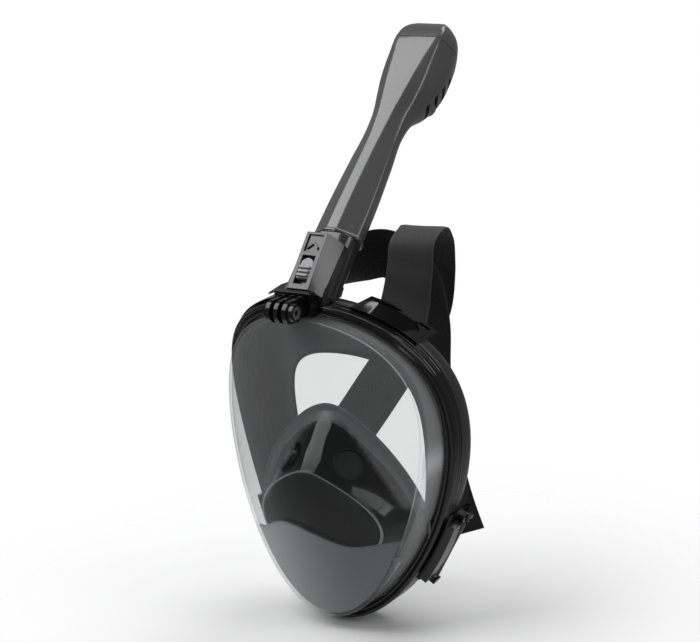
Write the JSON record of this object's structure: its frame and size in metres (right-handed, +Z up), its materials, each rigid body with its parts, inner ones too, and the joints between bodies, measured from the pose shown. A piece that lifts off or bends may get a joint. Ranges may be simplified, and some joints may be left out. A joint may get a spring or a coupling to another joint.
{
  "type": "full face snorkel",
  "caption": "Full face snorkelling mask with a clear domed lens, silicone skirt, breathing pocket, dry-top tube on a latched socket, camera mount and crossed elastic straps.",
  "frame": {"origin": "where the middle of the wearer's face comes to rest inside the face seal, on the mask's centre plane, 18.5 mm in front of the saddle that the frame and skirt follow", "axes": "+Z up as worn, the lens faces -Y, the wearer's left is +X"},
  "size_m": [0.1714, 0.218, 0.3771],
  "materials": {
    "frame": "gloss",
    "lens": "clear",
    "skirt": "semi-gloss",
    "pocket": "gloss",
    "valve_plastic": "satin",
    "valve_silicone": "satin",
    "smoke_plastic": "satin",
    "latch": "matte",
    "spring_steel": "brushed",
    "nut_steel": "brushed",
    "float": "matte",
    "clip": "satin",
    "strap": "woven"
  },
  "bodies": {
    "mask": {"front_frame": "frame", "rear_frame": "frame", "visor_lens": "lens", "face_skirt": "skirt", "orinasal_pocket": "pocket", "drain_valve_seat": "valve_plastic", "drain_valve_disc": "valve_silicone", "snorkel_socket": "smoke_plastic", "latch_spring": "spring_steel", "socket_gasket": "skirt", "camera_mount": "smoke_plastic", "mount_nut": "nut_steel", "inhale_valve_seat_left": "valve_plastic", "inhale_valve_seat_right": "valve_plastic", "inhale_valve_disc_left": "valve_silicone", "inhale_valve_disc_right": "valve_silicone", "strap_arm_left": "frame", "strap_arm_right": "frame", "lower_bracket_left": "frame", "lower_bracket_right": "frame", "clip_pin_left": "spring_steel", "clip_pin_right": "spring_steel", "head_strap_left": "strap", "head_strap_right": "strap"},
    "snorkel": {"tube_front_shell": "smoke_plastic", "tube_rear_shell": "smoke_plastic", "tube_spigot": "smoke_plastic", "tube_divider": "smoke_plastic", "top_cap": "smoke_plastic", "head_rear_panel": "frame", "float_guide": "smoke_plastic", "float_floor": "smoke_plastic"},
    "float": {"float": "float", "float_seal": "valve_silicone"},
    "latch": {"release_latch": "latch"},
    "clip_left": {"strap_clip_left": "clip"},
    "clip_right": {"strap_clip_right": "clip"}
  },
  "joints": [
    {"name": "snorkel_pull", "type": "slide", "parent": "mask", "child": "snorkel", "axis": [0, 0.7547, 0.6561], "range_m": [0, 0.045]},
    {"name": "float_slide", "type": "slide", "parent": "snorkel", "child": "float", "axis": [0, 0.7547, 0.6561], "range_m": [0, 0.0099]},
    {"name": "latch_slide", "type": "slide", "parent": "mask", "child": "latch", "axis": [0, -0.6786, -0.7345], "range_m": [0, 0.004], "stiffness_N_per_m": 300},
    {"name": "clip_left_hinge", "type": "hinge", "parent": "mask", "child": "clip_left", "pos_m": [0.0686, 0.03029, -0.06447], "axis": [0.4476, 0.1605, 0.8797], "range_deg": [0, 45]},
    {"name": "clip_right_hinge", "type": "hinge", "parent": "mask", "child": "clip_right", "pos_m": [-0.0686, 0.03029, -0.06447], "axis": [0.4476, -0.1605, -0.8797], "range_deg": [0, 45]}
  ]
}
